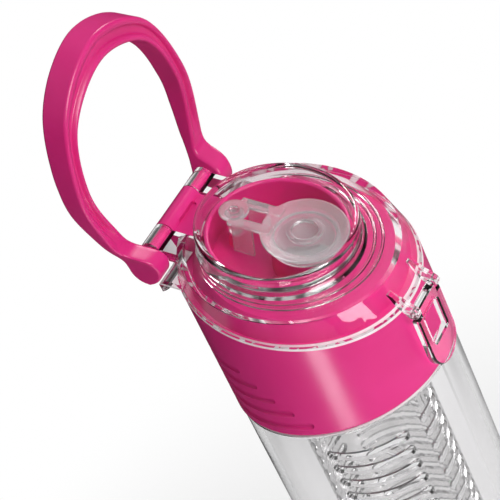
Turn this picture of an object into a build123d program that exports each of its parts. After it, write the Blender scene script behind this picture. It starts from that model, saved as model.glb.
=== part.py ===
from build123d import *
import os
from math import cos, hypot, pi, radians, sin, sqrt, tan

# Fruit infuser water bottle, in millimetres, +Z up.
# The origin is the centre of the bottle's foot. The front, with the latch, is at +X and the hinge at -X.

# Overrun of every cut past the face that it opens
over = 1.0

# Bottle body
body_radius = 36.5
body_wall = 2.3
body_height = 195.0
base_thickness = 3.2
foot_fillet = 5.0
shoulder_fillet = 1.4
punt_inset = 9.5
punt_depth = 1.4
gate_radius = 8.0
neck_step = 3.7
neck_wall = 2.2
neck_height = 19.0

# Screw collar
collar_gap = 0.4
collar_overhang = 0.6
collar_wall = 2.9
collar_draft = 0.4
rim_height = 39.7
rim_slope = 18.0
plate_thickness = 3.4
chamber_fillet = 2.4
collar_edge = 0.8

# Sloped deck under the lid, its drinking rim, spout and vent
deck_inset = 3.9
deck_height = 5.4
deck_draft = 28.0
drink_rim_gap = 3.2
drink_rim_wall = 1.6
drink_rim_height = 11.2
drink_rim_edge = 0.7
spout_radius = 11.0
spout_wall = 1.8
spout_height = 8.6
spout_inset = 0.6
vent_inset = 6.6
vent_radius = 2.8
vent_hole_radius = 1.2
vent_height = 5.0

# Hinge
hinge_behind = 0.7
hinge_lift = 6.294
knuckle_radius = 3.6
knuckle_half = 9.0
knuckle_end_gap = 0.3
pin_radius = 2.0
running_gap = 0.05
pin_reach = 3.5
lid_knuckle_length = 9.0
arm_top_rise = 1.4
arm_wall = 2.4
arm_slot_half = 5.0
arm_slot_width = 1.6
arm_slot_depth = 0.8
swing_gap = 0.5
# Shares of the skirt's half width at which the lid's sweep is measured
swing_shares = [0.45, 0.6, 0.74, 0.85, 0.93, 0.98, 1.0]

# Grip grooves round the back of the collar
groove_count = 5
groove_radius = 1.5
groove_sink = 0.7
groove_first = 4.4
groove_pitch = 5.45
groove_end_first = 78.0
groove_end_step = 7.2

# Catch lug
lug_width = 8.6
lug_bottom = 12.6
lug_height = 9.0
lug_proud = 1.6
lug_edge = 0.5

# Ring that carries the infuser tube
gasket_thickness = 2.0
carrier_thickness = 2.4
socket_wall = 1.9
socket_depth = 11.0

# Infuser tube
tube_gap = 7.9
tube_wall = 1.6
tube_length = 158.0
slot_height = 3.3
slot_pitch = 6.45
slot_rows = 17
slot_columns = 4
slot_top_drop = 24.5
slot_arc = 75.0
slot_middle = -63.8
end_cap_thickness = 3.0
end_plug_depth = 7.0
end_plug_wall = 1.8
end_cap_edge = 1.0

# Flip lid
lid_wall = 2.1
lid_roof = 2.0
shoulder_height = 8.4
shoulder_inset = 2.5
shoulder_back = 2.7
turret_inset = 8.6
turret_back = 6.6
turret_height = 16.4
turret_draft = 2.0
lid_edge = 1.5
tail_inset = 0.8
tail_radius = 11.2
tail_thickness = 2.9
tail_ahead = 3.0
tail_ledge = 2.4
web_height = 3.9
peg_radius = 4.2
peg_length = 2.5
vent_peg_radius = 1.6

# Latch clip
clip_half = 8.3
clip_thickness = 2.4
clip_gap = 1.3
clip_bottom = 1.5
clip_barrel = 1.5
clip_pivot_rise = 27.2
clip_shoulder_rise = 24.4
ear_thickness = 2.0
ear_radius = 2.0
ear_root_radius = 1.0
ear_root_height = 5.0
clip_play = 0.3
clip_stub = 0.9
window_half = 4.8
window_bottom = 11.5
window_top = 22.6
window_corner = 1.0
clip_edge = 0.5

# Silicone seal
plug_overlap = 0.2
plug_waist_inset = 1.4
plug_lip = 1.1
disc_gap = 0.7
disc_thickness = 1.6
disc_lip = 1.2
disc_lip_drop = 0.2
disc_dish = 0.7
peg_ring = 1.6
vent_disc_radius = 4.3
vent_stem_radius = 2.4
arm_seal_width = 3.4
arm_seal_middle = 4.3
strap_thickness = 1.0
strap_drop = 10.8
strap_start = 12.0
strap_length = 7.6

# Carry handle, drawn in the plane of its loop: across, then up from the hinge axis
handle_lean = 3.0
band_front = -3.4
band_depth = 9.2
loop_thickness = 5.0
loop_height = 65.4
loop_half_width = 33.3
foot_inner_height = 2.0
ear_play = 0.3
ear_width = 6.8
ear_forward = 0.6
ear_down = 1.6
handle_ear_radius = 5.8
ear_blend = 6.0
channel_radius = 1.25
channel_proud = 0.35
channel_rise = 0.9
# Points along the loop's edges: shares of its half width, then of its height
outer_loop_shares = [(0.888, 0.2), (1.0, 0.51), (0.67, 0.855)]
inner_loop_shares = [(0.746, 0.1), (0.845, 0.216), (1.0, 0.53), (0.752, 0.854)]
channel_shares = [(0.7, 0.854), (1.0, 0.526), (0.956, 0.335)]
channel_start_share = (0.871, 0.223)
# Points along the band's back: shares of its depth, then of the loop's height
band_back_shares = [(0.24, 0.075), (0.5, 0.2), (0.717, 0.38), (0.826, 0.566)]

# Radii that follow the body's
punt_radius = body_radius - punt_inset
neck_radius = body_radius - neck_step
tube_radius = neck_radius - neck_wall - tube_gap
collar_radius = body_radius + collar_overhang
deck_radius = collar_radius - deck_inset
shoulder_radius = collar_radius - shoulder_inset
turret_radius = shoulder_radius - turret_inset
drink_rim_radius = turret_radius - drink_rim_gap
rim_room = drink_rim_radius - drink_rim_wall
spout_forward = rim_room - turret_back - spout_radius - spout_inset
vent_back = rim_room + turret_back - vent_inset
plug_radius = spout_radius + plug_overlap
plug_waist = spout_radius - plug_waist_inset
disc_radius = turret_radius - lid_wall - turret_back - spout_forward - disc_gap

# Levels and the sloped frame of the lid
collar_bottom = body_height + collar_gap
neck_top = body_height + neck_height
carrier_bottom = neck_top + gasket_thickness
slope = radians(rim_slope)
rim_plane = Plane(
    origin=(0, 0, collar_bottom + rim_height),
    x_dir=(cos(slope), 0, -sin(slope)),
    z_dir=(sin(slope), 0, cos(slope)),
)
rim_axis = Axis(rim_plane.origin, rim_plane.z_dir)
hinge_x = -collar_radius - hinge_behind
hinge_rise = rim_height + (hinge_lift - hinge_x * sin(slope)) / cos(slope)
hinge_z = collar_bottom + hinge_rise
hinge_axis = Axis((hinge_x, 0, hinge_z), (0, 1, 0))
side_plane = Plane(origin=(hinge_x, 0, hinge_z), x_dir=(1, 0, 0), z_dir=(0, -1, 0))
hinge_run = hinge_x * cos(slope) - (hinge_rise - rim_height) * sin(slope)
lid_knuckle_start = knuckle_half + knuckle_end_gap
lid_knuckle_end = lid_knuckle_start + lid_knuckle_length
ear_inner = lid_knuckle_end + ear_play
ear_outer = ear_inner + ear_width
tail_half = ear_outer - tail_inset
collar_inner = collar_radius - collar_wall
skirt_radius = collar_radius - rim_height * tan(radians(collar_draft))
skirt_long = skirt_radius / cos(slope)
skirt_inner = skirt_radius - lid_wall
ceiling = turret_height - lid_roof
hole_radius = pin_radius + running_gap
tube_bottom = carrier_bottom - tube_length
clip_x = collar_radius + clip_gap + clip_thickness / 2
clip_pivot = (clip_x, collar_bottom + clip_pivot_rise)
clip_ear_start = clip_half - ear_thickness
clip_neck_half = clip_ear_start - clip_play


def level_z(x, lift):
    """Height at x of the sloped level that lies this far above the rim plane."""
    return collar_bottom + rim_height + (lift - x * sin(slope)) / cos(slope)


def sloped(run, lift):
    """A point of the lid's sloped frame, as x and z of the upright one."""
    return (
        run * cos(slope) + lift * sin(slope),
        collar_bottom + rim_height - run * sin(slope) + lift * cos(slope),
    )


def beside_hinge(run, lift):
    """A point of the sloped frame, in the side plane through the hinge axis."""
    x, z = sloped(run, lift)
    return (x - hinge_x, z - hinge_z)


def radial_plane(angle, height):
    """Upright plane through the bottle's axis: x outward at this angle, y up from this height."""
    turn = radians(angle)
    return Plane(
        origin=(0, 0, height),
        x_dir=(cos(turn), sin(turn), 0),
        z_dir=(sin(turn), -cos(turn), 0),
    )


def swing_radius(y):
    """How far from the hinge axis the lid's skirt and tail reach at this distance from the middle."""
    x = -sqrt(max(skirt_inner**2 - y**2, 0))
    return max(hypot(x - hinge_x, hinge_z - level_z(x, 0)), tail_radius) + swing_gap


# Bottle body
with BuildPart() as bottle_body:
    with BuildSketch():
        Circle(body_radius)
    extrude(amount=body_height)
    with BuildSketch(Plane.XY.offset(body_height)):
        Circle(neck_radius)
    extrude(amount=neck_height)
    with BuildSketch(Plane.XY.offset(base_thickness)):
        Circle(body_radius - body_wall)
    extrude(amount=body_height - body_wall - base_thickness, mode=Mode.SUBTRACT)
    with BuildSketch(Plane.XY.offset(body_height - body_wall - over)):
        Circle(neck_radius - neck_wall)
    extrude(amount=neck_height + body_wall + 2 * over, mode=Mode.SUBTRACT)
    with BuildSketch():
        Circle(punt_radius)
    extrude(amount=punt_depth, taper=rim_slope, mode=Mode.SUBTRACT)
    with BuildSketch():
        Circle(gate_radius)
    extrude(amount=base_thickness)
    outer_edges = bottle_body.edges().filter_by(GeomType.CIRCLE).group_by(SortBy.RADIUS)[-1].sort_by(Axis.Z)
    fillet(outer_edges[0], radius=foot_fillet)
    top_edges = bottle_body.edges().filter_by(GeomType.CIRCLE).group_by(SortBy.RADIUS)[-1].sort_by(Axis.Z)
    fillet(top_edges[-1], radius=shoulder_fillet)
bottle_body.part.label = "bottle_body"

# Volume that the lid's skirt and tail sweep about the hinge axis
swing_side = [(share * skirt_inner, swing_radius(share * skirt_inner)) for share in swing_shares]
with BuildPart() as swing:
    with BuildSketch(Plane(origin=(hinge_x, 0, hinge_z), x_dir=(0, 1, 0), z_dir=(0, 0, -1))):
        with BuildLine():
            Polyline(
                [(-skirt_inner, 0)]
                + [(-y, r) for y, r in reversed(swing_side)]
                + swing_side
                + [(skirt_inner, 0)],
                close=True,
            )
        make_face()
    revolve(axis=hinge_axis)

# Scoop in the collar for the lid's tail
with BuildPart() as scoop:
    with BuildSketch(Plane.XZ.offset(-tail_half - swing_gap)):
        with Locations((hinge_x, hinge_z)):
            Circle(tail_radius + swing_gap)
    extrude(amount=2 * (tail_half + swing_gap))
    with BuildSketch(Plane.XZ.offset(-knuckle_half)):
        with Locations((hinge_x, hinge_z)):
            Circle(tail_radius + swing_gap + over)
    extrude(amount=2 * knuckle_half, mode=Mode.SUBTRACT)

# Deck inside the lid's skirt
with BuildPart() as deck:
    with BuildSketch(rim_plane):
        Circle(deck_radius)
    extrude(amount=deck_height, taper=deck_draft)
    add(swing.part, mode=Mode.SUBTRACT)
    with BuildSketch(rim_plane):
        with Locations((-turret_back, 0)):
            Circle(drink_rim_radius)
    extrude(amount=drink_rim_height)
    with BuildSketch(rim_plane):
        with Locations((-turret_back, 0)):
            Circle(drink_rim_radius - drink_rim_wall)
    extrude(amount=drink_rim_height + over, mode=Mode.SUBTRACT)
    rim_edges = deck.edges().filter_by(GeomType.CIRCLE).group_by(rim_axis)[-1]
    fillet(rim_edges, radius=drink_rim_edge)
    with BuildSketch(rim_plane):
        with Locations((spout_forward, 0)):
            Circle(spout_radius)
    extrude(amount=spout_height)
    with BuildSketch(rim_plane):
        with Locations((-vent_back, 0)):
            Circle(vent_radius)
    extrude(amount=vent_height)

# Hollow under the sloped plate, down to the collar's open foot
with BuildPart() as chamber:
    with BuildSketch(Plane.XY.offset(collar_bottom - over)):
        Circle(collar_inner)
    extrude(amount=hinge_rise + over)
    split(bisect_by=rim_plane.offset(-plate_thickness), keep=Keep.BOTTOM)
    fillet(chamber.faces().sort_by(Axis.Z)[-1].edges(), radius=chamber_fillet)

# Screw collar with its knuckle arm, lug and grips
arm_front_run = -turret_back - drink_rim_radius + drink_rim_wall / 2
with BuildPart() as screw_collar:
    with BuildSketch(Plane.XY.offset(collar_bottom)):
        Circle(collar_radius)
    extrude(amount=hinge_rise, taper=collar_draft)
    fillet(screw_collar.edges().group_by(Axis.Z)[0], radius=collar_edge)
    split(bisect_by=rim_plane, keep=Keep.BOTTOM)
    add(scoop.part, mode=Mode.SUBTRACT)
    add(deck.part)
    with BuildSketch(side_plane):
        with BuildLine():
            Polyline(
                (0, -knuckle_radius),
                (0, arm_top_rise),
                beside_hinge(arm_front_run, hinge_lift + arm_top_rise),
                beside_hinge(arm_front_run, -plate_thickness),
                beside_hinge(-collar_radius, -plate_thickness),
                close=True,
            )
        make_face()
        Circle(knuckle_radius)
    extrude(amount=knuckle_half, both=True)
    add(chamber.part, mode=Mode.SUBTRACT)
    with BuildSketch(side_plane):
        with BuildLine():
            Polyline(
                beside_hinge(-collar_inner, -plate_thickness - over),
                beside_hinge(-collar_inner, hinge_lift + arm_top_rise - arm_wall),
                beside_hinge(arm_front_run - arm_wall, hinge_lift + arm_top_rise - arm_wall),
                beside_hinge(arm_front_run - arm_wall, -plate_thickness - over),
                close=True,
            )
        make_face()
    extrude(amount=knuckle_half - arm_wall, both=True, mode=Mode.SUBTRACT)
    with BuildSketch(rim_plane.offset(hinge_lift + arm_top_rise - arm_slot_depth)):
        with Locations((hinge_run + knuckle_radius, 0)):
            SlotOverall(2 * arm_slot_half, arm_slot_width, rotation=90)
    extrude(amount=knuckle_radius, mode=Mode.SUBTRACT)
    with BuildSketch(rim_plane.offset(-plate_thickness - over)):
        with Locations((spout_forward, 0)):
            Circle(spout_radius - spout_wall)
    extrude(amount=plate_thickness + spout_height + 2 * over, mode=Mode.SUBTRACT)
    with BuildSketch(rim_plane.offset(-plate_thickness - over)):
        with Locations((-vent_back, 0)):
            Circle(vent_hole_radius)
    extrude(amount=plate_thickness + vent_height + 2 * over, mode=Mode.SUBTRACT)
    with BuildSketch(side_plane):
        Circle(hole_radius)
    extrude(amount=knuckle_half + over, both=True, mode=Mode.SUBTRACT)
    with BuildSketch(Plane.YZ.offset(collar_radius - collar_wall / 2)):
        with Locations((0, collar_bottom + lug_bottom + lug_height / 2)):
            Rectangle(lug_width, lug_height)
    extrude(amount=collar_wall / 2 + lug_proud)
    lug_face = screw_collar.faces().sort_by(Axis.X)[-1]
    chamfer(lug_face.edges(), length=lug_edge)
    for row in range(groove_count):
        end_angle = groove_end_first + row * groove_end_step
        groove_level = collar_bottom + groove_first + row * groove_pitch
        with BuildSketch(radial_plane(end_angle, groove_level)):
            with Locations((collar_radius + groove_sink, 0)):
                Circle(groove_radius)
        revolve(axis=Axis.Z, revolution_arc=360 - 2 * end_angle, mode=Mode.SUBTRACT)
        groove_middle = collar_radius + groove_sink
        for turn in (radians(end_angle), -radians(end_angle)):
            with Locations((groove_middle * cos(turn), groove_middle * sin(turn), groove_level)):
                Sphere(groove_radius, mode=Mode.SUBTRACT)
screw_collar.part.label = "screw_collar"

# Gasket between the bottle's lip and the carrier ring
with BuildPart() as cap_gasket:
    with BuildSketch(Plane.XY.offset(neck_top)):
        Circle(neck_radius)
        Circle(neck_radius - neck_wall, mode=Mode.SUBTRACT)
    extrude(amount=gasket_thickness)
cap_gasket.part.label = "cap_gasket"

# Ring pressed into the collar, with the socket for the infuser tube
with BuildPart() as basket_carrier:
    with BuildSketch(Plane.XY.offset(carrier_bottom)):
        Circle(collar_inner)
        Circle(tube_radius - tube_wall, mode=Mode.SUBTRACT)
    extrude(amount=carrier_thickness)
    with BuildSketch(Plane.XY.offset(carrier_bottom)):
        Circle(tube_radius + running_gap + socket_wall)
        Circle(tube_radius + running_gap, mode=Mode.SUBTRACT)
    extrude(amount=-socket_depth)
basket_carrier.part.label = "basket_carrier"

# One row of slots through the infuser tube
slot_inset = slot_height / 2 / tube_radius * 180 / pi
with BuildPart() as slot_row:
    for column in range(slot_columns):
        slot_start = slot_middle + column * 360 / slot_columns - slot_arc / 2 + slot_inset
        with BuildSketch(radial_plane(slot_start, 0)):
            with Locations((tube_radius - tube_wall / 2, 0)):
                Rectangle(tube_wall + 2 * over, slot_height)
        revolve(axis=Axis.Z, revolution_arc=slot_arc - 2 * slot_inset)
        for end in (slot_start, slot_start + slot_arc - 2 * slot_inset):
            with BuildSketch(Plane(origin=(0, 0, 0), x_dir=(0, 0, 1), z_dir=(cos(radians(end)), sin(radians(end)), 0))):
                Circle(slot_height / 2)
            extrude(amount=tube_radius + over)

# Infuser tube
with BuildPart() as infuser_basket:
    with BuildSketch(Plane.XY.offset(tube_bottom)):
        Circle(tube_radius)
        Circle(tube_radius - tube_wall, mode=Mode.SUBTRACT)
    extrude(amount=tube_length)
    with Locations(*[(0, 0, collar_bottom - slot_top_drop - row * slot_pitch) for row in range(slot_rows)]):
        add(slot_row.part, mode=Mode.SUBTRACT)
infuser_basket.part.label = "infuser_basket"

# Cap pushed into the tube's foot
with BuildPart() as basket_end_cap:
    with BuildSketch(Plane.XY.offset(tube_bottom)):
        Circle(tube_radius)
    extrude(amount=-end_cap_thickness)
    fillet(basket_end_cap.edges().group_by(Axis.Z)[0], radius=end_cap_edge)
    with BuildSketch(Plane.XY.offset(tube_bottom)):
        Circle(tube_radius - tube_wall - running_gap)
        Circle(tube_radius - tube_wall - running_gap - end_plug_wall, mode=Mode.SUBTRACT)
    extrude(amount=end_plug_depth)
basket_end_cap.part.label = "basket_end_cap"


def lid_form(inset, drop):
    """The lid's outside, or its hollow when inset by the wall and lowered by the roof."""
    with BuildPart() as form:
        with BuildSketch(rim_plane):
            Ellipse(skirt_long - inset, skirt_radius - inset)
        with BuildSketch(rim_plane.offset(shoulder_height - drop)):
            with Locations((-shoulder_back, 0)):
                Circle(shoulder_radius - inset)
        loft()
        with BuildSketch(rim_plane.offset(shoulder_height - drop - over)):
            with Locations((-turret_back, 0)):
                Circle(turret_radius - inset)
        extrude(amount=turret_height - shoulder_height + over, taper=turret_draft)
    return form.part


# One side of the lid's fittings: hinge knuckle with its web, squared tail, latch ear
web_front = -shoulder_back - sqrt((shoulder_radius - lid_wall) ** 2 - lid_knuckle_end**2)
tail_front = -sqrt(skirt_inner**2 - tail_half**2)
tail_back = hinge_x + tail_ahead
ear_share = ear_root_height / shoulder_height
ear_root_run = skirt_long + (shoulder_radius - shoulder_back - skirt_long) * ear_share - lid_wall / 2
with BuildPart() as lid_side:
    with BuildSketch(side_plane.offset(-lid_knuckle_end)):
        with BuildLine():
            Polyline(
                beside_hinge(hinge_run, shoulder_height),
                beside_hinge(web_front, shoulder_height),
                beside_hinge(web_front, shoulder_height - web_height),
                beside_hinge(hinge_run, shoulder_height - web_height),
                close=True,
            )
        make_face()
        Circle(knuckle_radius)
    extrude(amount=lid_knuckle_length)
    with BuildSketch(side_plane.offset(-tail_half)):
        with BuildLine():
            Polyline(
                (tail_back - hinge_x, level_z(tail_back, 0) - hinge_z),
                (tail_front - hinge_x, level_z(tail_front, 0) - hinge_z),
                (tail_front - hinge_x, level_z(tail_front, tail_ledge) - hinge_z),
                (tail_back - hinge_x, level_z(tail_back, tail_ledge) - hinge_z),
                close=True,
            )
        make_face()
        Circle(tail_radius)
        Circle(tail_radius - tail_thickness, mode=Mode.SUBTRACT)
        with BuildLine():
            Polyline(
                (tail_back - hinge_x, -tail_radius - over),
                (tail_front - hinge_x, -tail_radius - over),
                (tail_front - hinge_x, level_z(tail_front, tail_ledge) - hinge_z),
                (tail_back - hinge_x, level_z(tail_back, tail_ledge) - hinge_z),
                close=True,
            )
        make_face(mode=Mode.INTERSECT)
    extrude(amount=tail_half - lid_knuckle_start)
    with BuildSketch(Plane.XZ.offset(-clip_half)):
        with Locations(clip_pivot):
            Circle(ear_radius)
        with Locations(sloped(ear_root_run, ear_root_height)):
            Circle(ear_root_radius)
        make_hull()
    extrude(amount=ear_thickness)

# Flip lid
with BuildPart() as flip_lid:
    add(lid_form(0, 0))
    lid_levels = flip_lid.edges().filter_by(GeomType.LINE, reverse=True).group_by(rim_axis)
    fillet(lid_levels[-1] + lid_levels[1].sort_by(SortBy.LENGTH)[-1:], radius=lid_edge)
    add(lid_side.part)
    add(mirror(lid_side.part, about=Plane.XZ, mode=Mode.PRIVATE))
    add(lid_form(lid_wall, lid_roof), mode=Mode.SUBTRACT)
    with BuildSketch(side_plane):
        with BuildLine():
            Polyline(
                beside_hinge(hinge_run - tail_radius, shoulder_height),
                beside_hinge(arm_front_run + drink_rim_wall, shoulder_height),
                beside_hinge(arm_front_run + drink_rim_wall, -tail_radius),
                beside_hinge(hinge_run - tail_radius, -tail_radius),
                close=True,
            )
        make_face()
    extrude(amount=lid_knuckle_start, both=True, mode=Mode.SUBTRACT)
    with BuildSketch(side_plane):
        Circle(hole_radius)
    extrude(amount=lid_knuckle_end + over, both=True, mode=Mode.SUBTRACT)
    with BuildSketch(Plane.XZ):
        with Locations(clip_pivot):
            Circle(clip_stub + running_gap)
    extrude(amount=clip_half + over, both=True, mode=Mode.SUBTRACT)
    with BuildSketch(rim_plane.offset(ceiling - peg_length)):
        with Locations((spout_forward, 0)):
            Circle(peg_radius)
        with Locations((-vent_back, 0)):
            Circle(vent_peg_radius)
    extrude(amount=peg_length + lid_roof / 2)
flip_lid.part.label = "flip_lid"

# Latch clip
with BuildPart() as latch_clip:
    with BuildSketch(Plane.YZ.offset(collar_radius + clip_gap)):
        with Locations((0, collar_bottom + clip_bottom + clip_half)):
            Circle(clip_half)
            Rectangle(2 * clip_half, clip_shoulder_rise - clip_bottom - clip_half, align=(Align.CENTER, Align.MIN))
            Rectangle(2 * clip_neck_half, clip_pivot_rise - clip_bottom - clip_half, align=(Align.CENTER, Align.MIN))
        with Locations((0, collar_bottom + (window_bottom + window_top) / 2)):
            RectangleRounded(2 * window_half, window_top - window_bottom, window_corner, mode=Mode.SUBTRACT)
    extrude(amount=clip_thickness)
    chamfer(latch_clip.faces().sort_by(Axis.X)[-1].edges(), length=clip_edge)
    with BuildSketch(Plane.XZ):
        with Locations(clip_pivot):
            Circle(clip_barrel)
    extrude(amount=clip_neck_half, both=True)
    with BuildSketch(Plane.XZ):
        with Locations(clip_pivot):
            Circle(clip_stub)
    extrude(amount=clip_half, both=True)
latch_clip.part.label = "latch_clip"

# Silicone seal: spout plug, vent plug and the arms with hanging straps that join them
with BuildPart() as lid_seal:
    with BuildSketch(rim_plane.offset(spout_height)):
        with Locations((spout_forward, 0)):
            Circle(plug_radius)
    extrude(amount=plug_lip)
    with BuildSketch(rim_plane.offset(spout_height)):
        with Locations((spout_forward, 0)):
            Circle(plug_waist)
    extrude(amount=ceiling - spout_height)
    with BuildSketch(rim_plane.offset(vent_height)):
        with Locations((-vent_back, 0)):
            Circle(vent_stem_radius)
    extrude(amount=ceiling - vent_height)
    with BuildSketch(rim_plane.offset(ceiling)):
        with Locations((spout_forward, 0)):
            Circle(disc_radius)
        with Locations((-vent_back, 0)):
            Circle(vent_disc_radius)
        with Locations((-vent_back, arm_seal_middle), (-vent_back, -arm_seal_middle)):
            Rectangle(vent_back + spout_forward - plug_waist, arm_seal_width, align=(Align.MIN, Align.CENTER))
    extrude(amount=-disc_thickness)
    with BuildSketch(rim_plane.offset(ceiling)):
        with Locations((spout_forward, 0)):
            Circle(disc_radius + over)
            Circle(disc_radius - disc_lip, mode=Mode.SUBTRACT)
    extrude(amount=-disc_lip_drop, mode=Mode.SUBTRACT)
    with BuildSketch(rim_plane.offset(ceiling)):
        with Locations((spout_forward, 0)):
            Circle(disc_radius - disc_lip)
            Circle(peg_radius + peg_ring, mode=Mode.SUBTRACT)
    extrude(amount=-disc_dish, mode=Mode.SUBTRACT)
    strap_out = arm_seal_middle + arm_seal_width / 2
    with BuildSketch(rim_plane.offset(ceiling - disc_thickness)):
        with Locations((-strap_start, strap_out), (-strap_start, -strap_out + strap_thickness)):
            Rectangle(strap_length, strap_thickness, align=(Align.MAX, Align.MAX))
    extrude(amount=-strap_drop)
    with BuildSketch(rim_plane.offset(ceiling - peg_length)):
        with Locations((spout_forward, 0)):
            Circle(peg_radius)
        with Locations((-vent_back, 0)):
            Circle(vent_peg_radius)
    extrude(amount=peg_length + over, mode=Mode.SUBTRACT)
lid_seal.part.label = "lid_seal"

# Carry handle, one half and its mirror image
lean = radians(handle_lean)
loop_plane = Plane(origin=(hinge_x, 0, hinge_z), x_dir=(0, 1, 0), z_dir=(cos(lean), 0, -sin(lean)))
loop_side = Plane(origin=(hinge_x, 0, hinge_z), x_dir=(cos(lean), 0, -sin(lean)), z_dir=(0, -1, 0))
band_end = band_front - band_depth
ear_back = ear_forward - handle_ear_radius
ear_front = ear_forward + handle_ear_radius
foot = -ear_down - handle_ear_radius
outer_loop = [(across * loop_half_width, up * loop_height) for across, up in outer_loop_shares]
inner_half_width = loop_half_width - loop_thickness
inner_height = loop_height - loop_thickness
inner_loop = [(across * inner_half_width, up * inner_height) for across, up in inner_loop_shares]
band_back = [(band_front - back * band_depth, up * loop_height) for back, up in band_back_shares]
channel_half_width = loop_half_width - loop_thickness / 2
channel_height = loop_height - loop_thickness / 2
channel_plane = loop_plane.offset(band_front + channel_proud)
channel_side = [(across * channel_half_width, up * channel_height, 0) for across, up in channel_shares]
channel_start = (channel_start_share[0] * channel_half_width, channel_start_share[1] * channel_height, channel_rise)
channel_points = [channel_plane.from_local_coords(Vector(point)) for point in channel_side + [channel_start]]
with BuildPart() as carry_handle:
    with BuildSketch(loop_plane.offset(band_end - over)):
        with BuildLine():
            Line((0, inner_height), (0, loop_height))
            Spline((0, loop_height), *reversed(outer_loop), (ear_outer, 0), tangents=((1, 0), (0, -1)))
            Polyline((ear_outer, 0), (ear_outer, foot), (ear_inner, foot), (ear_inner, foot_inner_height))
            Spline((ear_inner, foot_inner_height), *inner_loop, (0, inner_height), tangents=((0.45, 0.9), (-1, 0)))
        make_face()
    extrude(amount=ear_front - band_end + 2 * over)
    with BuildSketch(loop_side) as band_side:
        with BuildLine():
            Polyline(
                (ear_back, -ear_down),
                (band_front, -ear_down),
                (band_front, loop_height + over),
                (band_end, loop_height + over),
            )
            Spline(
                (band_end, loop_height + over),
                *reversed(band_back),
                (ear_back, -ear_down),
                tangents=((0, -1), (0, -1)),
            )
        make_face()
        with Locations((ear_forward, -ear_down)):
            Circle(handle_ear_radius)
        fillet(band_side.vertices().filter_by(lambda corner: 0 < corner.Y < inner_height), radius=ear_blend)
    extrude(amount=loop_half_width + over, both=True, mode=Mode.INTERSECT)
    with BuildLine() as channel:
        Spline(
            channel_plane.from_local_coords(Vector(0, channel_height, 0)),
            *channel_points,
            tangents=(Vector(0, 1, 0), channel_points[-1] - channel_points[-2]),
        )
    with BuildSketch(Plane(origin=channel.line @ 0, z_dir=channel.line % 0)):
        Circle(channel_radius)
    sweep(mode=Mode.SUBTRACT)
    with BuildSketch(side_plane.offset(-ear_inner - over)):
        Circle(pin_radius)
    extrude(amount=ear_inner + over - knuckle_half + pin_reach)
    mirror(about=Plane.XZ)
carry_handle.part.label = "carry_handle"

os.makedirs("parts", exist_ok=True)
pieces = (
    bottle_body,
    cap_gasket,
    screw_collar,
    basket_carrier,
    infuser_basket,
    basket_end_cap,
    flip_lid,
    latch_clip,
    lid_seal,
    carry_handle,
)
for piece in pieces:
    export_step(piece.part, f"parts/{piece.part.label}.step")
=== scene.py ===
# %% [markdown]
# A fruit infuser water bottle, seen from above its cap.
# The CAD model gives every solid piece: a clear bottle, a pink screw collar with a sloped top, a clear
# flip lid with a latch, a pink carry loop and a slotted infuser tube. This lesson dresses that model. It
# makes the plastics, the soft silicone and the screw threads, and sets up a small photographer's table
# round them.

from math import cos, degrees, pi, radians, sin

import bmesh
import bpy
from mathutils import Matrix, Vector


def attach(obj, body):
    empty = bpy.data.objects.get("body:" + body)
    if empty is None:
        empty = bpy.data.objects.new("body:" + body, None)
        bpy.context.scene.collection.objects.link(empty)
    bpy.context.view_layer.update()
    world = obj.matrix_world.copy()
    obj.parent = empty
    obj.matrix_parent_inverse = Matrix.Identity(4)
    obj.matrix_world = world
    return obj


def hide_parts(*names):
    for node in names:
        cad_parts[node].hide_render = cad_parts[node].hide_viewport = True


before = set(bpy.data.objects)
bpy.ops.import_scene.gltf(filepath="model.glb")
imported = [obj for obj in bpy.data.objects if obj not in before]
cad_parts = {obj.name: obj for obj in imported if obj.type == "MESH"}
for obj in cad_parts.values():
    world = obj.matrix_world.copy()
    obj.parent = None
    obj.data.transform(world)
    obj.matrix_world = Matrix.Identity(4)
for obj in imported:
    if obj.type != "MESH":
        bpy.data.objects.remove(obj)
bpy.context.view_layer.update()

# %% [markdown]
# The units. The drawings of the bottle are in millimetres and Blender works in metres, so one helper
# turns the one into the other. Numbers that repeat a size of the drawing stay in millimetres, where they
# are easy to read.

# %% Millimetres
MM = 0.001
COLLAR_FOOT = 195.4
RIM_MIDDLE = COLLAR_FOOT + 39.7
RIM_SLOPE = radians(18)


def mm(*values):
    """A point or a length in metres, from millimetres."""
    metres = [value * MM for value in values]
    return metres[0] if len(metres) == 1 else Vector(metres)


print("middle of the sloped rim:", tuple(round(v, 4) for v in mm(0, 0, RIM_MIDDLE)))

# %% [markdown]
# The camera. The photograph looks down on the cap from the front right, with the camera rolled so that
# the bottle runs out of the lower right corner. A camera can be aimed by eye, but then every compared
# edge is a little off. Here its place, its direction and its lens come from a fit to edges that are easy
# to find: the two sides of the collar, the round turret of the lid and the pivots of the carry loop.

# %% Camera
CAMERA_AZIMUTH = radians(43.38)
CAMERA_HEIGHT_ANGLE = radians(34.54)
CAMERA_ROLL = radians(-25.99)
CAMERA_PLACE = mm(311.13, -347.03, 567.72)
CAMERA_LENS = 132.7
CAMERA_SENSOR = 36

backward = Vector(
    (
        sin(CAMERA_AZIMUTH) * cos(CAMERA_HEIGHT_ANGLE),
        -cos(CAMERA_AZIMUTH) * cos(CAMERA_HEIGHT_ANGLE),
        sin(CAMERA_HEIGHT_ANGLE),
    )
)
level_right = Vector((cos(CAMERA_AZIMUTH), sin(CAMERA_AZIMUTH), 0))
level_up = backward.cross(level_right)
rolled_right = cos(CAMERA_ROLL) * level_right + sin(CAMERA_ROLL) * level_up
rolled_up = backward.cross(rolled_right)

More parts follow.
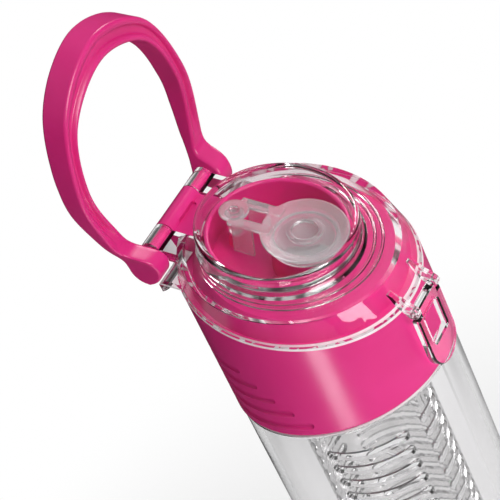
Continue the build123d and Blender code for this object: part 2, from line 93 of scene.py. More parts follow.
camera = bpy.data.objects.new("camera", bpy.data.cameras.new("camera"))
bpy.context.scene.collection.objects.link(camera)
turned_axes = Matrix((rolled_right, rolled_up, backward)).transposed().to_4x4()
camera.matrix_world = Matrix.Translation(CAMERA_PLACE) @ turned_axes
camera.data.lens = CAMERA_LENS
camera.data.sensor_width = CAMERA_SENSOR
camera.data.clip_start = 0.02
camera.data.clip_end = 20
bpy.context.scene.camera = camera
print("camera is", round(CAMERA_PLACE.length, 3), "m from the foot")
print("camera is rolled by", round(degrees(CAMERA_ROLL)), "degrees")

# %% [markdown]
# Small helpers for node trees. A material in Blender is a graph of nodes. Written out node by node it is
# long, so these helpers add one node with its settings, link it, and hand it back.

# %% Node helpers
def add_node(tree, kind, values=None, **settings):
    """Adds a node, sets its properties, and sets or links its inputs."""
    node = tree.nodes.new(kind)
    for name, setting in settings.items():
        setattr(node, name, setting)
    for socket, value in (values or {}).items():
        if isinstance(value, bpy.types.NodeSocket):
            tree.links.new(value, node.inputs[socket])
        else:
            node.inputs[socket].default_value = value
    return node


def shades(tree, factor, stops):
    """A colour ramp: stops are pairs of a position and a linear colour or a grey."""
    node = tree.nodes.new("ShaderNodeValToRGB")
    tree.links.new(factor, node.inputs["Fac"])
    ramp = node.color_ramp
    while len(ramp.elements) < len(stops):
        ramp.elements.new(0.5)
    for element, (position, colour) in zip(ramp.elements, stops):
        element.position = position
        element.color = (colour, colour, colour, 1) if isinstance(colour, (int, float)) else (*colour, 1)
    return node.outputs["Color"]


def maths(tree, operation, first, second=None):
    """The result of one sum on one or two values."""
    values = {0: first} if second is None else {0: first, 1: second}
    return add_node(tree, "ShaderNodeMath", values, operation=operation).outputs[0]


def bumped(tree, height, strength, distance, under=None):
    """A bump from a height, laid over another one if that is given."""
    values = {"Height": height, "Strength": strength, "Distance": distance}
    if under:
        values["Normal"] = under
    return add_node(tree, "ShaderNodeBump", values).outputs["Normal"]


def blank_material(name):
    """A new material and its emptied node tree."""
    material = bpy.data.materials.new(name)
    material.use_nodes = True
    material.node_tree.nodes.clear()
    return material, material.node_tree


def stretched(tree, factor, low, high):
    """Turns a texture's 0 to 1 into the range from low to high."""
    node = add_node(tree, "ShaderNodeMapRange", {"Value": factor, "To Min": low, "To Max": high})
    return node.outputs["Result"]


print("node helpers ready")

# %% [markdown]
# The table. The object is photographed on white. The floor has to look white and still hold a shadow, so
# it is a matt white sheet that mixes more and more with plain white light away from the bottle. Only rays
# from the camera, or rays seen through plastic or in a reflection, meet that light, so it doesn't
# brighten the bottle. An even white sheet would leave clear plastic blank. So rays bent by plastic meet
# eight light gaps between darker cards out there, and mirrored rays meet a darker sheet that lightens
# towards the largest lamp.

# %% Floor
GAP_COUNT = 8.0
FIRST_GAP = radians(127)
GAP_EDGE = 0.35
CARD_TONE, GAP_TONE = 0.12, 0.97
CARDS_START, CARDS_FULL = 0.14, 0.32
WHITE_START, WHITE_FULL, WHITE_AT_BOTTLE = 0.06, 0.3, 0.35
FLOOR_HALF = 4.0


def cards_and_gaps(tree, place, low, high):
    """Turns the direction round the bottle into eight light gaps with darker cards between them."""
    parts = add_node(tree, "ShaderNodeSeparateXYZ", {"Vector": place}).outputs
    around = maths(tree, "ARCTAN2", parts["Y"], parts["X"])
    turned_away = maths(tree, "SUBTRACT", around, FIRST_GAP)
    wave = maths(tree, "COSINE", maths(tree, "MULTIPLY", turned_away, GAP_COUNT))
    tone = add_node(
        tree,
        "ShaderNodeMapRange",
        {"Value": wave, "From Min": -1.0, "From Max": GAP_EDGE, "To Min": low, "To Max": high},
    )
    tone.interpolation_type = "SMOOTHSTEP"
    return tone.outputs["Result"]


def eased(tree, value, start, full, low=0.0):
    """Rises softly from low to 1 while value runs from start to full."""
    rise = add_node(
        tree, "ShaderNodeMapRange", {"Value": value, "From Min": start, "From Max": full, "To Min": low}
    )
    rise.interpolation_type = "SMOOTHSTEP"
    return rise.outputs["Result"]


def white_sheet_material():
    """Matt white paper that fades into plain white away from the bottle."""
    material, tree = blank_material("white paper sweep")
    place = add_node(tree, "ShaderNodeNewGeometry").outputs["Position"]
    grain = add_node(tree, "ShaderNodeTexNoise", {"Vector": place, "Scale": 900, "Detail": 3})
    paper = add_node(tree, "ShaderNodeBsdfPrincipled", {"Roughness": 0.8, "Specular IOR Level": 0.1})
    paper_tone = shades(tree, grain.outputs["Fac"], [(0.3, 0.84), (0.7, 0.87)])
    tree.links.new(paper_tone, paper.inputs["Base Color"])
    ray = add_node(tree, "ShaderNodeLightPath").outputs
    cards = cards_and_gaps(tree, place, CARD_TONE, GAP_TONE)
    distance = add_node(tree, "ShaderNodeVectorMath", {0: place}, operation="LENGTH").outputs["Value"]
    far = eased(tree, distance, CARDS_START, CARDS_FULL)
    cards = add_node(tree, "ShaderNodeMix", {"Factor": far, "A": GAP_TONE, "B": cards}).outputs["Result"]
    forward = add_node(tree, "ShaderNodeSeparateXYZ", {"Vector": place}).outputs["X"]
    towards_key = maths(tree, "DIVIDE", forward, distance)
    lit = add_node(
        tree, "ShaderNodeMapRange", {"Value": towards_key, "From Min": -0.6, "To Min": 0.02, "To Max": 0.5}
    ).outputs["Result"]
    mirrored = maths(tree, "SUBTRACT", ray["Is Glossy Ray"], ray["Is Transmission Ray"])
    tone = add_node(tree, "ShaderNodeMix", {"Factor": mirrored, "A": cards, "B": lit}).outputs["Result"]
    tone = maths(tree, "MAXIMUM", tone, ray["Is Camera Ray"])
    glow = add_node(tree, "ShaderNodeEmission", {"Color": (1, 1, 1, 1), "Strength": tone})
    white_share = eased(tree, distance, WHITE_START, WHITE_FULL, WHITE_AT_BOTTLE)
    seen = maths(tree, "MAXIMUM", ray["Is Camera Ray"], ray["Is Glossy Ray"])
    seen = maths(tree, "MAXIMUM", seen, ray["Is Transmission Ray"])
    share = maths(tree, "MULTIPLY", seen, white_share)
    mixed = add_node(tree, "ShaderNodeMixShader", {0: share, 1: paper.outputs[0], 2: glow.outputs[0]})
    add_node(tree, "ShaderNodeOutputMaterial", {"Surface": mixed.outputs[0]})
    return material


sheet_mesh = bmesh.new()
bmesh.ops.create_grid(sheet_mesh, x_segments=8, y_segments=8, size=FLOOR_HALF)
floor_mesh = bpy.data.meshes.new("paper_sweep")
sheet_mesh.to_mesh(floor_mesh)
sheet_mesh.free()
floor = bpy.data.objects.new("paper_sweep", floor_mesh)
bpy.context.scene.collection.objects.link(floor)
floor.data.materials.append(white_sheet_material())
print("floor is", 2 * FLOOR_HALF, "m wide")

# %% [markdown]
# The room. Clear plastic shows only what is round it: in an even white room it would vanish. Studios
# stand dark cards beside a glass so that its edges draw themselves as dark lines. Here the world behind
# the lamps does that work: white for the camera, and for all other rays a grey room, darker towards the
# horizon and brighter overhead, with the same eight light gaps as the floor.

# %% World
world = bpy.data.worlds.new("studio")
bpy.context.scene.world = world
world.use_nodes = True
room = world.node_tree
room.nodes.clear()
direction = add_node(room, "ShaderNodeTexCoord").outputs["Generated"]
room_height = add_node(room, "ShaderNodeSeparateXYZ", {"Vector": direction}).outputs["Z"]
height_tone = shades(room, room_height, [(0.0, 0.06), (0.2, 0.1), (0.55, 0.24), (0.9, 0.36)])
band_tone = cards_and_gaps(room, direction, 0.25, 1.5)
dark_room = add_node(room, "ShaderNodeBackground", {"Color": height_tone, "Strength": band_tone})
white_view = add_node(room, "ShaderNodeBackground", {"Color": (1, 1, 1, 1), "Strength": 1.0})
from_camera = add_node(room, "ShaderNodeLightPath").outputs["Is Camera Ray"]
either = add_node(
    room, "ShaderNodeMixShader", {0: from_camera, 1: dark_room.outputs[0], 2: white_view.outputs[0]}
)
add_node(room, "ShaderNodeOutputWorld", {"Surface": either.outputs[0]})
print("the room's tone runs from 0.06 at the horizon to 0.36 overhead")

# %% [markdown]
# The lamps. A large softbox stands to the right of the camera and lays the broad highlight down the
# collar. One high on the far side brightens the far edges of the lid, and a small strip close to the
# floor on the near side lights the cap from below. Each is aimed at the cap.

# %% Lamps
LAMP_TARGET = mm(0, 0, 240)


def softbox(name, place, width, height, power):
    """A rectangular soft lamp that faces the cap and isn't itself seen."""
    lamp = bpy.data.lights.new(name, "AREA")
    lamp.shape = "RECTANGLE"
    lamp.size = width
    lamp.size_y = height
    lamp.energy = power
    thing = bpy.data.objects.new(name, lamp)
    bpy.context.scene.collection.objects.link(thing)
    thing.location = place
    thing.rotation_euler = (LAMP_TARGET - Vector(place)).to_track_quat("-Z", "Y").to_euler()
    thing.visible_camera = False
    return thing


softbox("key_softbox", (0.85, -0.12, 0.8), 0.45, 0.5, 7.8)
softbox("back_softbox", (0.08, 0.95, 0.92), 0.26, 0.26, 4.0)
softbox("floor_strip", (0.10, -0.265, 0.06), 0.07, 0.12, 0.22)

# %% [markdown]
# The clear plastic. The bottle, tube, lid and latch are moulded from a clear copolyester. A see-through
# material could be faked with transparency, but its dark edge lines and bright glints come from light
# that bends, so the walls are real refracting solids. Lamps don't reach through a refracting solid in a
# path tracer, so for the rays that look for lamps the surface is plainly transparent with a grey tint.
# The lid's is deeper, which shades the top of the collar under it. Noise in the roughness and a very low
# wavy bump give the slight unevenness of moulded plastic. The lid's skirt and the bottle's shoulder have
# a thin whitish band, a painted highlight that draws their lit edge as a white line.

# %% Clear plastic
def painted_highlight_band(tree, place, tilt, height, half):
    """1 within a thin level band across the piece, 0 elsewhere; the band lies on a plane tilted about Y. It
    places a painted highlight line.
    """
    across = (sin(tilt), 0, cos(tilt))
    lift = add_node(tree, "ShaderNodeVectorMath", {0: place, 1: across}, operation="DOT_PRODUCT")
    off = maths(tree, "ABSOLUTE", maths(tree, "SUBTRACT", lift.outputs["Value"], height))
    band = add_node(
        tree,
        "ShaderNodeMapRange",
        {"Value": off, "From Min": half, "From Max": 1.5 * half, "To Min": 1.0, "To Max": 0.0},
    )
    return band.outputs["Result"]


def clear_plastic(name, tint, low_gloss, high_gloss, wave_size, wave_depth, shadow_tint, edge=None):
    """Refracting moulded plastic that lets the lamps through; edge is a band with a whitish matt skin, a
    painted highlight line.
    """
    material, tree = blank_material(name)
    place = add_node(tree, "ShaderNodeTexCoord").outputs["Object"]
    cloud = add_node(
        tree, "ShaderNodeTexNoise", {"Vector": place, "Scale": 140, "Detail": 4, "Roughness": 0.6}
    )
    gloss = stretched(tree, cloud.outputs["Fac"], low_gloss, high_gloss)
    wave = add_node(tree, "ShaderNodeTexNoise", {"Vector": place, "Scale": wave_size, "Detail": 1})
    bump = bumped(tree, wave.outputs["Fac"], 0.35, wave_depth)
    tone = shades(tree, cloud.outputs["Fac"], [(0.25, tint), (0.75, tuple(min(1, 1.015 * c) for c in tint))])
    body = add_node(
        tree,
        "ShaderNodeBsdfPrincipled",
        {"Base Color": tone, "Roughness": gloss, "Normal": bump, "IOR": 1.5, "Transmission Weight": 1.0},
    )
    if edge:
        # Painted highlight: a whitish, half-clear skin that draws the lit edge as a white line.
        painted_highlight = add_node(
            tree,
            "ShaderNodeBsdfPrincipled",
            {"Base Color": (0.93, 0.9, 0.91, 1), "Roughness": 0.45, "IOR": 1.5, "Transmission Weight": 0.25},
        )
        band = painted_highlight_band(tree, place, *edge)
        body = add_node(tree, "ShaderNodeMixShader", {0: band, 1: body.outputs[0], 2: painted_highlight.outputs[0]})
    passing = add_node(tree, "ShaderNodeBsdfTransparent", {"Color": (*shadow_tint, 1)})
    lamp_ray = add_node(tree, "ShaderNodeLightPath").outputs["Is Shadow Ray"]
    mixed = add_node(tree, "ShaderNodeMixShader", {0: lamp_ray, 1: body.outputs[0], 2: passing.outputs[0]})
    add_node(tree, "ShaderNodeOutputMaterial", {"Surface": mixed.outputs[0]})
    return material


# Where the painted highlight lines lie: the lowest edge of the lid's skirt and the bottle's shoulder.
SKIRT_HIGHLIGHT_LINE = (RIM_SLOPE, RIM_MIDDLE * MM * cos(RIM_SLOPE) + 0.0003, 0.0003)
SHOULDER_HIGHLIGHT_LINE = (0.0, 0.1949, 0.0006)
clear_bottle = clear_plastic(
    "clear bottle plastic", (0.955, 0.95, 0.955), 0.0, 0.03, 30, 0.0004, (0.9, 0.9, 0.9), SHOULDER_HIGHLIGHT_LINE
)
clear_lid = clear_plastic(
    "clear lid plastic", (0.975, 0.97, 0.975), 0.0, 0.02, 45, 0.0002, (0.64, 0.61, 0.62), SKIRT_HIGHLIGHT_LINE
)
clear_clip = clear_plastic(
    "clear clip plastic", (0.975, 0.97, 0.975), 0.0, 0.02, 45, 0.0002, (0.84, 0.82, 0.83)
)
clear_tube = clear_plastic(
    "clear tube plastic", (0.86, 0.855, 0.855), 0.02, 0.06, 60, 0.0003, (0.85, 0.85, 0.85)
)
print("clear plastics:", clear_bottle.name, "/", clear_lid.name, "/", clear_tube.name)

# %% [markdown]
# The pink plastic. The collar and the carry loop are glossy polypropylene, coloured right through. Real
# moulded parts are never quite even: the gloss changes in soft clouds, the surface ripples a little, and
# the colour is a touch deeper where the plastic flowed last. A clear coat would look like lacquer, so the
# gloss comes from the plastic's own reflection instead.

# %% Pink plastic
def pink_plastic(name, deep, bright, low_gloss, high_gloss, grain_depth):
    """Glossy coloured polypropylene with clouded gloss and a fine grain."""
    material, tree = blank_material(name)
    place = add_node(tree, "ShaderNodeTexCoord").outputs["Object"]
    flow = add_node(
        tree, "ShaderNodeTexNoise", {"Vector": place, "Scale": 28, "Detail": 3, "Distortion": 0.6}
    )
    tone = shades(tree, flow.outputs["Fac"], [(0.3, deep), (0.7, bright)])
    cloud = add_node(
        tree, "ShaderNodeTexNoise", {"Vector": place, "Scale": 90, "Detail": 5, "Roughness": 0.65}
    )
    gloss = stretched(tree, cloud.outputs["Fac"], low_gloss, high_gloss)
    grain = add_node(tree, "ShaderNodeTexNoise", {"Vector": place, "Scale": 2600, "Detail": 2})
    ripple = add_node(tree, "ShaderNodeTexNoise", {"Vector": place, "Scale": 55, "Detail": 1})
    fine = bumped(tree, grain.outputs["Fac"], 0.25, grain_depth)
    wavy = bumped(tree, ripple.outputs["Fac"], 0.2, 0.0003, fine)
    body = add_node(
        tree,
        "ShaderNodeBsdfPrincipled",
        {
            "Base Color": tone,
            "Roughness": gloss,
            "Normal": wavy,
            "IOR": 1.49,
            "Subsurface Weight": 0.12,
            "Subsurface Scale": 0.002,
        },
    )
    body.inputs["Subsurface Radius"].default_value = (1.0, 0.25, 0.4)
    add_node(tree, "ShaderNodeOutputMaterial", {"Surface": body.outputs[0]})
    return material


pink_collar = pink_plastic("pink collar plastic", (0.69, 0.02, 0.2), (0.76, 0.028, 0.235), 0.2, 0.3, 0.00002)
# The loop's pink is a slightly darker copy of the collar's: painted shade for the loop's shaded sides.
pink_loop_with_painted_shade = pink_plastic("pink loop plastic, darker for painted shade", (0.67, 0.018, 0.19), (0.74, 0.026, 0.225), 0.24, 0.36, 0.00003)
print("pink plastics:", pink_collar.name, "/", pink_loop_with_painted_shade.name)

# %% [markdown]
# The ring that holds the tube is natural polypropylene: milky, with light that spreads inside it. Most of
# it hides inside the collar. Its finish is a soft white with subsurface light and a satin grain.

# %% Milky ring plastic
def milky_plastic(name):
    """Uncoloured polypropylene: whitish, satin, with light spreading inside."""
    material, tree = blank_material(name)
    place = add_node(tree, "ShaderNodeTexCoord").outputs["Object"]
    cloud = add_node(tree, "ShaderNodeTexNoise", {"Vector": place, "Scale": 70, "Detail": 4})
    tone = shades(tree, cloud.outputs["Fac"], [(0.3, (0.8, 0.83, 0.84)), (0.7, (0.88, 0.9, 0.905))])
    grain = add_node(tree, "ShaderNodeTexNoise", {"Vector": place, "Scale": 1800, "Detail": 3})
    bump = bumped(tree, grain.outputs["Fac"], 0.3, 0.00004)
    gloss = stretched(tree, cloud.outputs["Fac"], 0.32, 0.45)
    body = add_node(
        tree,
        "ShaderNodeBsdfPrincipled",
        {
            "Base Color": tone,
            "Roughness": gloss,
            "Normal": bump,
            "Subsurface Weight": 0.4,
            "Subsurface Scale": 0.003,
            "Transmission Weight": 0.25,
        },
    )
    add_node(tree, "ShaderNodeOutputMaterial", {"Surface": body.outputs[0]})
    return material


milky_ring = milky_plastic("milky ring plastic")
print("ring plastic:", milky_ring.name)

# %% [markdown]
# The silicone. The seal under the lid and the gasket at the neck are soft clear silicone, which always
# looks a little cloudy: light passes through but scatters on the way. A clear refracting material would
# be too crisp and a white one too dead, so this is a rough refracting surface over a pale body.

# %% Silicone
def cloudy_silicone(name):
    """Soft clear silicone: cloudy, pale, with a satin skin."""
    material, tree = blank_material(name)
    place = add_node(tree, "ShaderNodeTexCoord").outputs["Object"]
    cloud = add_node(tree, "ShaderNodeTexNoise", {"Vector": place, "Scale": 110, "Detail": 4})
    tone = shades(tree, cloud.outputs["Fac"], [(0.3, (0.93, 0.9, 0.91)), (0.7, (0.98, 0.96, 0.965))])
    skin = add_node(tree, "ShaderNodeTexNoise", {"Vector": place, "Scale": 420, "Detail": 4})
    bump = bumped(tree, skin.outputs["Fac"], 0.2, 0.00005)
    gloss = stretched(tree, cloud.outputs["Fac"], 0.16, 0.28)
    body = add_node(
        tree,
        "ShaderNodeBsdfPrincipled",
        {
            "Base Color": tone,
            "Roughness": gloss,
            "Normal": bump,
            "IOR": 1.41,
            "Transmission Weight": 0.82,
        },
    )
    passing = add_node(tree, "ShaderNodeBsdfTransparent", {"Color": (0.8, 0.8, 0.8, 1)})
    lamp_ray = add_node(tree, "ShaderNodeLightPath").outputs["Is Shadow Ray"]
    through = maths(tree, "MULTIPLY", lamp_ray, 0.6)
    mixed = add_node(tree, "ShaderNodeMixShader", {0: through, 1: body.outputs[0], 2: passing.outputs[0]})
    add_node(tree, "ShaderNodeOutputMaterial", {"Surface": mixed.outputs[0]})
    return material


silicone = cloudy_silicone("cloudy silicone")
print("silicone:", silicone.name)

# %% [markdown]
# Giving the CAD solids their finishes. The solids keep their shape and their place, and only what their
# material slots hold changes.

# %% Finishes of the solids
FINISHES = {
    "bottle_body": clear_bottle,
    "infuser_basket": clear_tube,
    "basket_end_cap": clear_tube,
    "flip_lid": clear_lid,
    "latch_clip": clear_clip,
    "screw_collar": pink_collar,
    "carry_handle": pink_loop_with_painted_shade,
    "basket_carrier": milky_ring,
    "lid_seal": silicone,
    "cap_gasket": silicone,
}
for node_name, finish in FINISHES.items():
    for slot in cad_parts[node_name].material_slots:
        slot.material = finish
print("finished solids:", len(FINISHES))

# %% [markdown]
# Turned shapes. Many pieces of a bottle are turned, so a profile of radius and height is swept round an
# axis. Blender can do this with its Screw modifier, but direct rings of points give clean counts and let
# the axis be the sloped one of the lid. Profiles are in millimetres.

# %% Turned shapes
def sloped_place(run, across, lift):
    """A point of the lid's sloped frame: forward along the slope, across, and up from the rim."""
    return mm(
        run * cos(RIM_SLOPE) + lift * sin(RIM_SLOPE),
        across,
        RIM_MIDDLE - run * sin(RIM_SLOPE) + lift * cos(RIM_SLOPE),
    )


def upright_place(x, y, z):
    """A point of the upright frame."""
    return mm(x, y, z)


def turned(mesh, profile, middle, place, steps=96):
    """Adds a closed turned shape to a bmesh: profile runs from the axis or closes on itself."""
    rings = []
    for radius, lift in profile:
        if radius == 0:
            rings.append([mesh.verts.new(place(middle[0], middle[1], lift))])
            continue
        ring = []
        for step in range(steps):
            turn = 2 * pi * step / steps
            first, second = middle[0] + radius * cos(turn), middle[1] + radius * sin(turn)
            ring.append(mesh.verts.new(place(first, second, lift)))
        rings.append(ring)
    if profile[0][0] > 0:
        rings.append(rings[0])
    for low, high in zip(rings, rings[1:]):
        for step in range(steps):
            after = (step + 1) % steps
            below = [low[step % len(low)], low[after % len(low)]]
            above = [high[after % len(high)], high[step % len(high)]]
            corners = below + above
            corners = [corner for index, corner in enumerate(corners) if corner not in corners[:index]]
            if len(corners) > 2:
                mesh.faces.new(corners)


def finished_piece(name, mesh, body, finish, smooth=True):
    """Turns a bmesh into an object that rides on a body."""
    bmesh.ops.recalc_face_normals(mesh, faces=mesh.faces[:])
    data = bpy.data.meshes.new(name)
    mesh.to_mesh(data)
    mesh.free()
    for polygon in data.polygons:
        polygon.use_smooth = smooth
    data.materials.append(finish)
    piece = bpy.data.objects.new(name, data)
    bpy.context.scene.collection.objects.link(piece)
    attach(piece, body)
    print(name, "has", len(data.polygons), "faces and rides on", body)
    return piece


print("turning helpers ready")

# %% [markdown]
# The silicone seal. It hangs under the lid: a round plug that closes the spout, joined by two arms to a
# small plug for the air vent, with two soft straps hanging down. Its top is dished, with a raised ring
# round the peg that holds it. Silicone is cast in one piece with soft corners everywhere. Separate shapes
# would show their inner walls through the cloudy material, so they are joined into one skin by a voxel
# remesh and then relaxed.

# %% Silicone seal
SEAL_PROFILE = [
    (0, 8.62), (8.2, 8.62), (10.7, 8.64), (11.1, 8.85), (11.15, 9.35), (10.8, 9.65), (9.9, 9.85),
    (9.55, 10.3), (9.6, 12.0), (10.4, 12.6), (12.6, 12.85), (13.6, 13.1), (13.95, 13.5), (13.8, 13.95),
    (13.2, 14.05), (11.0, 13.7), (8.0, 13.3), (6.2, 13.3), (5.7, 13.55), (5.55, 14.15), (5.35, 14.32),
    (4.5, 14.32), (4.28, 14.15), (4.28, 11.95), (0, 11.95),
]
VENT_PROFILE = [
    (0, 5.05), (2.1, 5.1), (2.4, 5.5), (2.45, 11.8), (2.9, 12.6), (4.2, 12.95), (4.8, 13.3), (4.8, 13.9),
    (4.4, 14.25), (3.2, 14.33), (1.95, 14.33), (1.68, 14.15), (1.68, 11.95), (0, 11.95),
]
SPOUT_FORWARD = 3.0
VENT_BACK = 21.2
SEAL_ARM = ((-VENT_BACK + 0.4, SPOUT_FORWARD - 9.4), (2.6, 6.0), (13.0, 14.3))
SEAL_STRAP = ((-19.4, -12.2), (5.0, 6.0), (2.3, 13.2))


def seal_bar(mesh, run, across, lift):
    """Adds a plain block between two corners of the sloped frame; the remesh rounds it."""
    corners = {}
    for i, r in enumerate(run):
        for j, a in enumerate(across):
            for k, h in enumerate(lift):
                corners[i, j, k] = mesh.verts.new(sloped_place(r, a, h))
    for side in (
        ((0, 0, 0), (0, 0, 1), (0, 1, 1), (0, 1, 0)),
        ((1, 0, 0), (1, 1, 0), (1, 1, 1), (1, 0, 1)),
        ((0, 0, 0), (1, 0, 0), (1, 0, 1), (0, 0, 1)),
        ((0, 1, 0), (0, 1, 1), (1, 1, 1), (1, 1, 0)),
        ((0, 0, 0), (0, 1, 0), (1, 1, 0), (1, 0, 0)),
        ((0, 0, 1), (1, 0, 1), (1, 1, 1), (0, 1, 1)),
    ):
        mesh.faces.new([corners[corner] for corner in side])


seal_mesh = bmesh.new()
turned(seal_mesh, SEAL_PROFILE, (SPOUT_FORWARD, 0), sloped_place)
turned(seal_mesh, VENT_PROFILE, (-VENT_BACK, 0), sloped_place, steps=48)
for side in (-1, 1):
    for run, sides, lift in (SEAL_ARM, SEAL_STRAP):
        seal_bar(seal_mesh, run, sorted(side * edge for edge in sides), lift)
seal = finished_piece("spout_seal", seal_mesh, "lid", silicone)
remesh = seal.modifiers.new("one skin", "REMESH")
remesh.mode = "VOXEL"
remesh.voxel_size = mm(0.22)
remesh.use_smooth_shade = True
relax = seal.modifiers.new("soft corners", "SMOOTH")
relax.factor = 0.5
relax.iterations = 6
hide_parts("lid_seal")

# %% [markdown]
# The lid's steps. Round the foot of the turret the lid spreads in a soft flare, and two low steps follow
# it out to the shoulder. They stiffen the thin top and catch the light as fine lines. They run round the
# front and both sides, and die away before the hinge. The CAD keeps the shoulder flat, because steps this
# low would only cost it faces, so they are thin clear mouldings here, lying on the shoulder.

# %% Lid steps
SHOULDER_TOP = 8.42
STEP_HALF_TURN = 128
FLARE = [(-2.9, 3.6), (-2.2, 2.1), (-1.1, 0.9), (-0.2, 0.45), (0.0, 0.0), (-1.6, 0.0), (-2.9, 0.0)]
LOW_STEP = [(-1.0, 0.0), (-0.95, 0.2), (-0.7, 0.32), (-0.25, 0.32), (0.0, 0.2), (0.05, 0.0)]


def skinned(mesh, rows):
    """Joins rows of points into a closed skin, with a face at each end."""
    for low, high in zip(rows, rows[1:]):
        for index in range(len(low)):
            after = (index + 1) % len(low)
            mesh.faces.new((low[index], low[after], high[after], high[index]))
    mesh.faces.new(rows[0])
    mesh.faces.new(list(reversed(rows[-1])))


def step_arc(mesh, front, back, section, half_turn, count=160):
    """Adds a moulding that runs round the front of a circle and thins out at both ends."""
    middle, radius = (front + back) / 2, (front - back) / 2
    rows = []
    for index in range(count + 1):
        share = 2 * index / count - 1
        turn = radians(half_turn) * share
        size = max(0.03, min(1, (1 - abs(share)) * 6))
        row = []
        for out, up in section:
            reach = radius + out * size
            place = sloped_place(middle + reach * cos(turn), reach * sin(turn), SHOULDER_TOP + up * size)
            row.append(mesh.verts.new(place))
        rows.append(row)
    skinned(mesh, rows)


for name, front, back, section in (
    ("lid_flare", 21.2, -31.4, FLARE),
    ("lid_inner_step", 24.0, -32.0, LOW_STEP),
    ("lid_outer_step", 26.6, -32.6, LOW_STEP),
):
    arc_mesh = bmesh.new()
    step_arc(arc_mesh, front, back, section, STEP_HALF_TURN)
    finished_piece(name, arc_mesh, "lid", clear_clip)

# %% [markdown]
# The carry loop. It is one moulding: two round ears on the hinge pins, and a band that rises from them
# and grows deeper towards the top, where it also thickens. A groove runs along its front between two
# rounded ridges, which saves plastic and gives the fingers a softer edge. The CAD has the same band with
# plain edges, thinner and a few millimetres lower at the top, because rounding its long curved edges was
# fragile there. Here one rounded section is fitted to the local thickness and depth and carried from one
# ear to the other.

# %% Carry loop
HINGE_X, HINGE_Z = -37.8, 254.0
LOOP_LEAN = radians(4)
EAR_OUTSIDE, EAR_INSIDE = 25.4, 18.6
EAR_LEVEL = -1.6
OUTER_EDGE = [(EAR_OUTSIDE, EAR_LEVEL), (26.4, 3.0), (30.3, 13.1), (33.4, 33.4), (24.0, 58.2), (0, 69.0)]
INNER_EDGE = [(EAR_INSIDE, EAR_LEVEL), (19.2, 2.0), (23.8, 13.1), (28.0, 32.2), (21.0, 51.6), (0, 60.4)]
BAND_FRONT = [
    (EAR_LEVEL, 6.4), (0, 6.2), (2, 5.1), (3.4, 3.4), (4.5, 0.9), (5.6, -1.2), (7.2, -2.6), (9.2, -3.1),
    (70, -3.1),
]
BAND_BACK = [
    (EAR_LEVEL, -5.2), (2, -5.2), (4.9, -5.7), (13.1, -8.0), (24.9, -10.0), (37.0, -11.2), (70, -12.0),
]
EAR_FORWARD, EAR_RADIUS = 0.6, 5.8
GROOVE_DEPTH, GROOVE_START, GROOVE_RUN_OUT = 1.5, 11, 6
CROWN_LIFT, CROWN_START, CROWN_REACH = 1.9, 35, 25
PIN_PROFILE = [(0, 4.6), (1.6, 4.6), (2.0, 5.0), (2.0, 19.0), (0, 19.0)]
GROOVE = [(0.72, 0.0), (0.68, 0.75), (0.6, 1.0), (0.36, 1.0), (0.28, 0.75), (0.24, 0.0)]


def between(stops, place):
    """A value that runs evenly between stops."""
    for (low, value), (high, after) in zip(stops, stops[1:]):
        if place <= high:
            return value + (after - value) * (place - low) / (high - low)
    return stops[-1][1]


def smooth_path(points, count):
    """Evenly spaced points on a smooth curve through the points and back on the other side."""
    half = [Vector(point) for point in points]
    whole = half + [Vector((-point.x, point.y)) for point in reversed(half[:-1])]
    fine = []
    for index in range(len(whole) - 1):
        a, b, c, d = (whole[max(0, min(len(whole) - 1, index + k))] for k in (-1, 0, 1, 2))
        for step in range(40):
            t = step / 40
            point = 2 * b + (c - a) * t
            point = point + (2 * a - 5 * b + 4 * c - d) * t * t
            fine.append(0.5 * (point + (3 * b - a - 3 * c + d) * t**3))
    fine.append(whole[-1])
    lengths = [0.0]
    for low, high in zip(fine, fine[1:]):
        lengths.append(lengths[-1] + (high - low).length)
    path, index = [], 0
    for step in range(count + 1):
        wanted = lengths[-1] * step / count
        while index < len(fine) - 2 and lengths[index + 1] < wanted:
            index += 1
        share = (wanted - lengths[index]) / (lengths[index + 1] - lengths[index])
        path.append(fine[index].lerp(fine[index + 1], min(1, share)))
    return path


def loop_place(across, up, forward):
    """A point of the leaning loop, measured from the hinge."""
    return mm(
        HINGE_X + forward * cos(LOOP_LEAN) + up * sin(LOOP_LEAN),
        across,
        HINGE_Z - forward * sin(LOOP_LEAN) + up * cos(LOOP_LEAN),
    )


def pin_place(forward, up, across):
    """A point of the hinge pins, which run across the bottle."""
    return mm(HINGE_X + forward, across, HINGE_Z + up)


def grown(up, start, reach):
    """0 below start, and rising evenly to 1 over the reach above it."""
    return min(1, max(0, (up - start) / reach))


def band_ring(mesh, outer, inner, back, front, groove, crown):
    """Adds one ring of the band: a rounded section with a groove in its front."""
    thickness = (outer - inner).length
    depth = front - back
    soft = min(1.0, 0.45 * thickness, 0.45 * depth)
    ring = []
    corners = ((0, -1), (1, -1), (1, 1), (0, 1))
    outline = []
    for number, (side, face) in enumerate(corners):
        for step in range(5):
            turn = radians(180 + 90 * number + 22.5 * step)
            centre = (soft if side == 0 else thickness - soft, back + soft if face < 0 else front - soft)
            outline.append((centre[0] + soft * cos(turn), centre[1] + soft * sin(turn)))
        if number == 2:
            outline.extend((share * thickness, front - groove * sunk) for share, sunk in GROOVE)
    for along, forward in outline:
        share = along / thickness
        point = inner.lerp(outer, share)
        lift = crown * share * (front - forward) / depth
        ring.append(mesh.verts.new(loop_place(point.x, point.y + lift, forward)))
    return ring


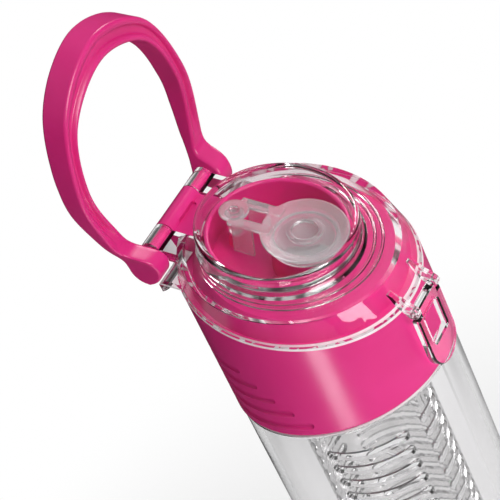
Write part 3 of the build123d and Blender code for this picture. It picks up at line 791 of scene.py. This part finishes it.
outer_path, inner_path = smooth_path(OUTER_EDGE, 150), smooth_path(INNER_EDGE, 150)
loop_mesh = bmesh.new()
rings = []
for outer, inner in zip(outer_path, inner_path):
    up = max(EAR_LEVEL, (outer.y + inner.y) / 2)
    groove = GROOVE_DEPTH * grown(up, GROOVE_START, GROOVE_RUN_OUT)
    crown = CROWN_LIFT * grown(up, CROWN_START, CROWN_REACH)
    back, front = between(BAND_BACK, up), between(BAND_FRONT, up)
    rings.append(band_ring(loop_mesh, outer, inner, back, front, groove, crown))
for side in (1, -1):
    ends = []
    for step in range(1, 10):
        turn = radians(9.6 * step)
        half = EAR_RADIUS * cos(turn)
        up = EAR_LEVEL - EAR_RADIUS * sin(turn)
        edge, inside = Vector((side * EAR_OUTSIDE, up)), Vector((side * EAR_INSIDE, up))
        ends.append(band_ring(loop_mesh, edge, inside, EAR_FORWARD - half, EAR_FORWARD + half, 0, 0))
    rings = list(reversed(ends)) + rings if side == 1 else rings + ends
skinned(loop_mesh, rings)
for side in (1, -1):
    pin = [(radius, side * along) for radius, along in PIN_PROFILE]
    turned(loop_mesh, pin, (0, 0), pin_place, steps=40)
loop = finished_piece("carry_loop", loop_mesh, "handle", pink_loop_with_painted_shade)
even = loop.modifiers.new("even light on flat faces", "WEIGHTED_NORMAL")
even.keep_sharp = True
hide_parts("carry_handle")

# %% [markdown]
# The neck gasket. A flat silicone ring closes the gap between the bottle's lip and the cap. The CAD holds
# it as a square-cut ring, and the real one has rounded corners, so it is turned from a rounded profile.

# %% Neck gasket
GASKET_PROFILE = [
    (30.95, 214.02), (32.4, 214.02), (32.72, 214.3), (32.78, 215.0), (32.72, 215.7), (32.4, 215.98),
    (30.95, 215.98), (30.68, 215.7), (30.62, 215.0), (30.68, 214.3),
]
gasket_mesh = bmesh.new()
turned(gasket_mesh, GASKET_PROFILE, (0, 0), upright_place, steps=128)
gasket = finished_piece("neck_gasket", gasket_mesh, "gasket", silicone)
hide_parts("cap_gasket")

# %% [markdown]
# The screw threads. A ridge winds round the outside of the neck, and one inside the collar catches under
# it. A thread could be a texture, but its edge shows through the clear neck, so it is a real ridge: a
# small rounded section carried round a helix that climbs four millimetres a turn, thinning out at both
# ends.

# %% Screw threads
THREAD_PITCH = 4.0
THREAD_DEPTH = 0.85
NECK_THREAD_ROOT, NECK_THREAD_START, NECK_THREAD_TURNS = 32.8, 5.0, 2.2
COLLAR_THREAD_ROOT, COLLAR_THREAD_START, COLLAR_THREAD_TURNS = 34.2, 3.0, 2.0


def thread_ridge(mesh, root, proud, base, turns, lead_in=24, steps_per_turn=120):
    """Adds a helical ridge. root is its radius, proud its height outward, or inward if negative."""
    section = [(-1.05, -0.25), (-0.7, 0.45), (-0.3, 1.0), (0.3, 1.0), (0.7, 0.45), (1.05, -0.25)]
    count = int(turns * steps_per_turn)
    rows = []
    for step in range(count + 1):
        turn = 2 * pi * step / steps_per_turn
        size = min(1, (step + 1) / lead_in, (count + 1 - step) / lead_in)
        row = []
        for along, out in section:
            radius = root + proud * out * size
            height = base + THREAD_PITCH * turn / (2 * pi) + along * (0.4 + 0.6 * size)
            row.append(mesh.verts.new(mm(radius * cos(turn), radius * sin(turn), height)))
        rows.append(row)
    skinned(mesh, rows)


neck_thread_mesh = bmesh.new()
neck_start = COLLAR_FOOT + NECK_THREAD_START
thread_ridge(neck_thread_mesh, NECK_THREAD_ROOT, THREAD_DEPTH, neck_start, NECK_THREAD_TURNS)
finished_piece("neck_thread", neck_thread_mesh, "bottle", clear_bottle)
collar_thread_mesh = bmesh.new()
collar_start = COLLAR_FOOT + COLLAR_THREAD_START
thread_ridge(collar_thread_mesh, COLLAR_THREAD_ROOT, -THREAD_DEPTH, collar_start, COLLAR_THREAD_TURNS)
finished_piece("collar_thread", collar_thread_mesh, "cap", pink_collar)

# %% [markdown]
# The view settings stay plain, so that a colour shows as it is written.

# %% View settings
bpy.context.scene.view_settings.view_transform = "Standard"
